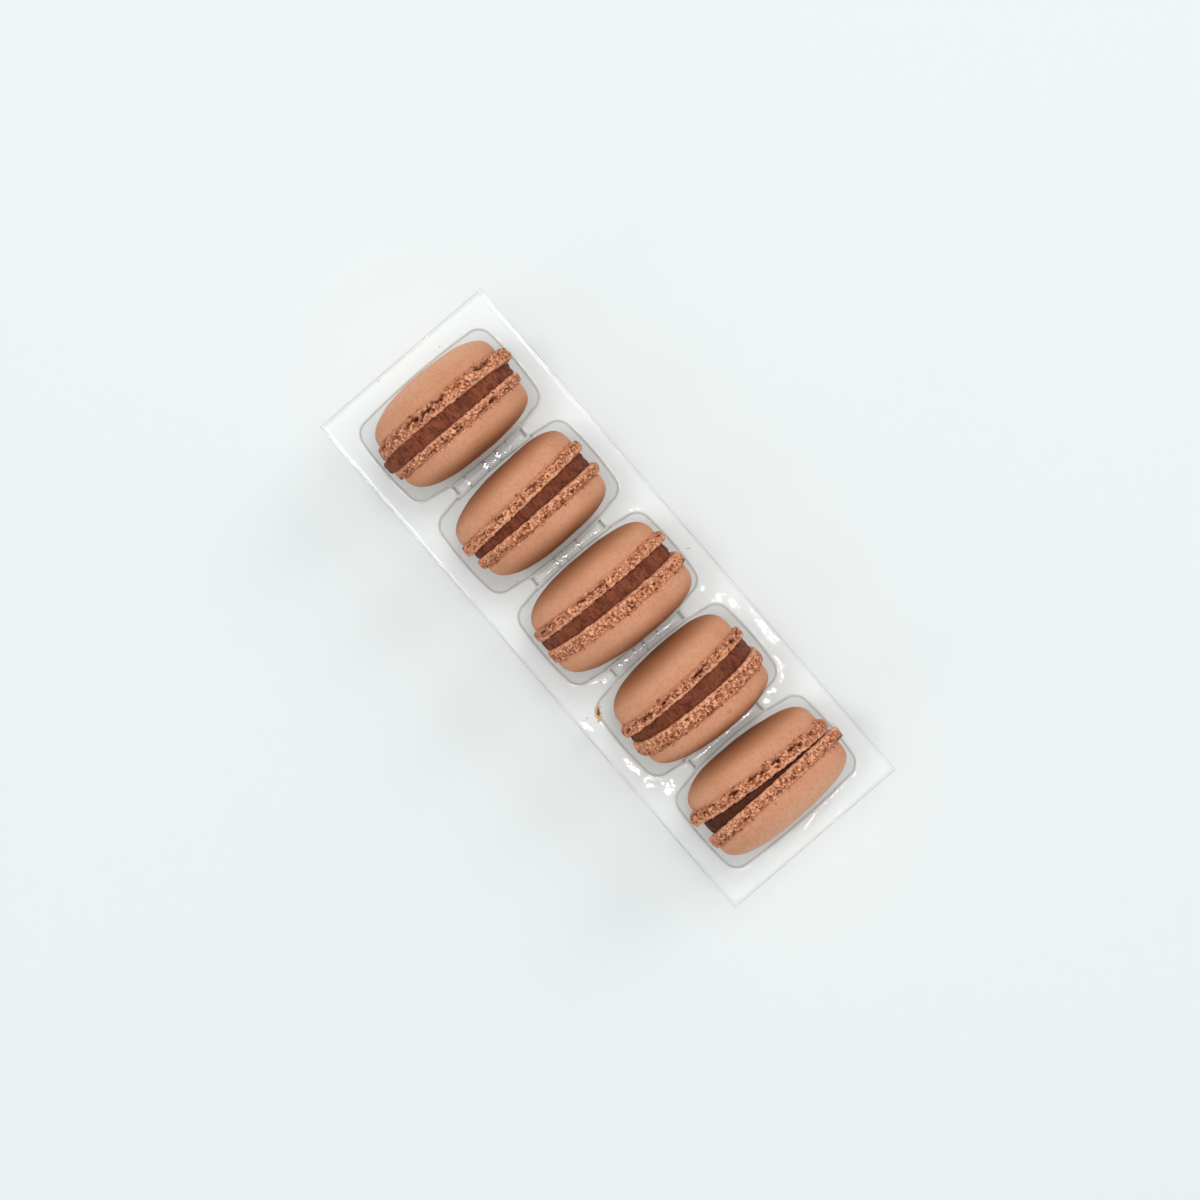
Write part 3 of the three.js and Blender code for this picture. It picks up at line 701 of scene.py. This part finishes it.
def ganache_tree(material):
    """Gives the filling its soft lumps and fine drag marks, and moves nothing towards the shells."""
    tree, bench, entry, ids = tree_of("pressed ganache", ("Lump height", 0.6), ("Seed", 0.0))
    place = bench.scaled(bench.node("GeometryNodeInputPosition")[0], 1 / MM)
    shift = bench.node("ShaderNodeCombineXYZ", None, [entry["Seed"] * 7.9, entry["Seed"] * 13.1, 0.0])[0]
    spot = bench.moved(place, shift)
    lumps = bench.noise(spot, 0.5, 3.0)
    grains = bench.noise(bench.scaled(spot, (0.45, 1.0, 1.0)), 1.5, 3.0)
    rise = ((lumps - 0.57) * 2 * entry["Lump height"] + (grains - 0.5) * 1.3) * MM
    facing = bench.node("ShaderNodeSeparateXYZ", None, [bench.node("GeometryNodeInputNormal")[0]])
    upright = bench.node("ShaderNodeCombineXYZ", None, [0.0, facing[1], facing[2]])[0]
    raised = bench.node("GeometryNodeSetPosition", None,
                        {"Geometry": entry["Geometry"], "Offset": bench.scaled(upright, rise)})["Geometry"]
    sent_out(bench, raised, material)
    return tree, ids


def ganache_look(bench):
    """Dull dark chocolate with fine wrinkles and a fine crumb in it. Painted shade darkens the wrinkles' creases, and
    more painted shade darkens a filling set deep between its shells.
    """
    place = bench.node("ShaderNodeTexCoord")["Object"]
    broad, fine = bench.noise(place, 260.0, 3.0), bench.noise(place, 1500.0, 3.0)
    wrinkle = bench.noise(bench.scaled(place, (0.4, 1.0, 1.0)), 1400.0, 3.0)
    paste = bench.blend(broad.step(0.35, 0.7), colour(136, 70, 43), colour(106, 48, 28))
    # Painted shade in the creases of the wrinkles.
    paste = bench.blend(wrinkle.step(0.49, 0.66) * 0.7, paste, colour(60, 26, 16))
    paste = bench.blend(fine.step(0.44, 0.3) * 0.5, paste, colour(158, 87, 58))
    # Painted shade on a filling set deep between its shells.
    paste = bench.blend(bench.attribute("dark") * 0.7, paste, colour(56, 26, 16))
    relief = bench.node("ShaderNodeBump", None,
                        {"Strength": 0.7, "Distance": 0.0002, "Height": fine * 0.6 - wrinkle + broad * 0.5})["Normal"]
    return bench.node("ShaderNodeBsdfPrincipled", None, {
        "Base Color": paste, "Roughness": 0.55 + 0.2 * broad, "Specular IOR Level": 0.2, "Normal": relief})[0]


ganache = finish("chocolate filling", ganache_look)
pressed, pressed_ids = ganache_tree(ganache)
for number, macaron in enumerate(MACARONS, 1):
    node = f"macaron_{number}_filling"
    made = filling_piece(node + "_pressed", macaron)
    grown(made, pressed, pressed_ids, seed=number)
    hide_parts(node)
    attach(made, "root")

# Crumbs and specks lie on the flange where they fell, held by nothing: a brown smear of filling with
# tan crumbs of shell in it, some grey flecks, and dark specks. Each kind has a light and a dark tone,
# and each crumb its x, y and z and how large it is.
CRUMBS = {
    "brown": ((150, 96, 62), (104, 58, 34), [
        (22.5, -22.9, 21.95, 1.1), (23.0, -23.4, 22.05, 1.2), (22.0, -22.5, 21.85, 0.8), (23.5, -23.8, 22.1, 0.8),
        (4.2, 26.5, 22.15, 0.4)]),
    "tan": ((228, 200, 164), (206, 172, 130), [
        (21.0, -21.9, 21.8, 0.9), (21.5, -22.6, 22.0, 1.2), (22.2, -23.5, 22.15, 1.3), (23.2, -24.2, 22.2, 1.4),
        (24.0, -24.0, 22.1, 1.3), (24.6, -24.4, 22.15, 1.1), (21.9, -22.0, 21.75, 1.0), (23.3, -22.9, 21.8, 1.0),
        (24.2, -23.5, 21.95, 1.0), (21.6, -23.2, 22.1, 0.9), (3.9, 26.2, 22.15, 0.6), (4.4, 26.9, 22.15, 0.5)]),
    "grey": ((206, 206, 200), (150, 150, 146), [
        (21.9, -26.6, 22.1, 0.7), (22.7, -27.4, 22.15, 0.5), (22.2, -27.7, 22.15, 0.45), (23.3, -27.9, 22.15, 0.5),
        (23.9, -27.2, 22.15, 0.35), (22.9, -28.9, 22.15, 0.4), (23.6, -28.5, 22.15, 0.45), (21.6, -28.2, 22.15, 0.4),
        (24.6, -25.0, 22.15, 0.5), (25.8, -25.1, 22.15, 0.35)]),
    "dark": ((112, 100, 92), (70, 60, 54), [
        (-85.0, 10.5, 22.15, 0.5), (-89.2, -9.0, 22.0, 0.45), (-20.3, -16.2, 22.05, 0.5), (16.8, -16.8, 22.1, 0.5),
        (-32.0, -24.0, 22.1, 0.35), (31.0, -28.5, 22.15, 0.25), (-62.0, 26.0, 22.15, 0.25), (-8.0, 27.5, 22.15, 0.2)]),
}


def crumb_tree(material):
    """Puts a lumpy crumb on each point, turned at random and as big as the point says."""
    tree, bench, entry, ids = tree_of("lying crumbs", ("Lumpiness", 0.35), ("Seed", 0.0))
    ball = bench.node("GeometryNodeMeshIcoSphere", None, {"Radius": 0.5 * MM, "Subdivisions": 4})["Mesh"]
    turned = bench.node("FunctionNodeRandomValue", {"data_type": "FLOAT_VECTOR"},
                        {"Max": (6.28, 6.28, 6.28), "Seed": entry["Seed"]})[0]
    laid = bench.node("GeometryNodeInstanceOnPoints", None, {
        "Points": entry["Geometry"], "Instance": ball, "Rotation": turned,
        "Scale": bench.scaled((1.0, 0.8, 0.55), named(bench, "size"))})[0]
    real = bench.node("GeometryNodeRealizeInstances", None, [laid])[0]
    place = bench.scaled(bench.node("GeometryNodeInputPosition")[0], 1 / MM)
    rise = (bench.noise(place, 2.6, 3.0) - 0.5) * entry["Lumpiness"] * MM
    lumpy = bench.node("GeometryNodeSetPosition", None, {
        "Geometry": real, "Offset": bench.scaled(bench.node("GeometryNodeInputNormal")[0], rise)})["Geometry"]
    sent_out(bench, lumpy, material)
    return tree, ids


def crumb_look(light, dark):
    """Dry crumbs, grained between their two tones."""
    def look(bench):
        grain = bench.noise(bench.node("ShaderNodeTexCoord")["Object"], 2200.0, 3.0)
        tone = bench.blend(grain.step(0.4, 0.62), colour(*light), colour(*dark))
        return bench.node("ShaderNodeBsdfPrincipled", None, {"Base Color": tone, "Roughness": 0.8,
                                                              "Specular IOR Level": 0.2})[0]
    return look


for kind, (light, dark, spots) in CRUMBS.items():
    made = piece(f"crumbs_{kind}", [(x, y, z) for x, y, z, size in spots], [])
    mark(made, "size", [size for x, y, z, size in spots])
    lying, lying_ids = crumb_tree(finish(f"{kind} crumbs", crumb_look(light, dark)))
    grown(made, lying, lying_ids, seed=len(spots))
    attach(made, "root")

# The table is a plain pale sheet of laminate. The tray rests on it loose. Its top is set a hair below
# the tray's floors, so that the two don't lie in one plane.
TABLE_TOP, TABLE_HALF = -0.05, 3000
floor = piece("table", [(x * TABLE_HALF, y * TABLE_HALF, TABLE_TOP)
                        for x, y in ((-1, -1), (1, -1), (1, 1), (-1, 1))], [(0, 1, 2, 3)])


def table_look(bench):
    """Matt white with a faint blue-green, barely clouded."""
    cloud = bench.noise(bench.node("ShaderNodeTexCoord")["Object"], 3.0, 2.0)
    tone = bench.blend(cloud, colour(238, 243, 243), colour(235, 241, 241))
    return bench.node("ShaderNodeBsdfPrincipled", None, {"Base Color": tone, "Roughness": 0.9,
                                                          "Specular IOR Level": 0.1})[0]


floor.data.materials.append(finish("pale table", table_look))

# The room is a photo studio: dim, with pale walls that are brightest low down, so that the clear sheet
# has something to mirror. Large soft boxes hang above and beside the tray, and one small window gives
# the glints.
room = bpy.data.worlds.new("room")
room.use_nodes = True
bench = Bench(room.node_tree)
upwards = bench.node("ShaderNodeSeparateXYZ", None, [bench.node("ShaderNodeTexCoord")["Generated"]])[2]
glow = upwards.step(0.34, 0.12) * 0.75 + 0.3
sky = room.node_tree.nodes["Background"]
sky.inputs[0].default_value = (0.96, 0.985, 1.0, 1)
room.node_tree.links.new(glow.socket, sky.inputs[1])
bpy.context.scene.world = room


def softbox(name, place, size, power):
    """A square soft light, as wide as given, that faces the middle of the tray."""
    light = bpy.data.lights.new(name, "AREA")
    light.shape, light.size, light.energy = "SQUARE", size * MM, power
    made = bpy.data.objects.new(name, light)
    made.location = [c * MM for c in place]
    made.rotation_euler = made.location.normalized().to_track_quat("Z", "Y").to_euler()
    bpy.context.scene.collection.objects.link(made)


softbox("above, far side", (-330, 560, 1950), 420, 9.5)
softbox("above, near side", (-300, -560, 1950), 420, 9.0)
softbox("ceiling", (0, 0, 1950), 1000, 6.4)
softbox("far side", (0, 1500, 1150), 600, 5.1)
softbox("near side", (0, -1500, 1150), 600, 1.4)
softbox("window", (76, 8, 915), 20, 0.095)

# The camera looks straight down from arm's length above the middle of the tray, rolled so that the
# tray runs from the upper left to the lower right.
lens = bpy.data.cameras.new("camera")
lens.sensor_width, lens.lens = 36, 95.3
lens.clip_start, lens.clip_end = 0.05, 20
camera = bpy.data.objects.new("camera", lens)
camera.location = [c * MM for c in (-1.08, -1.96, 922.1)]
camera.rotation_euler = (0, 0, math.radians(49.19))
bpy.context.scene.collection.objects.link(camera)
bpy.context.scene.camera = camera
bpy.context.scene.view_settings.view_transform = "Standard"
bpy.context.scene.cycles.transparent_max_bounces = 40
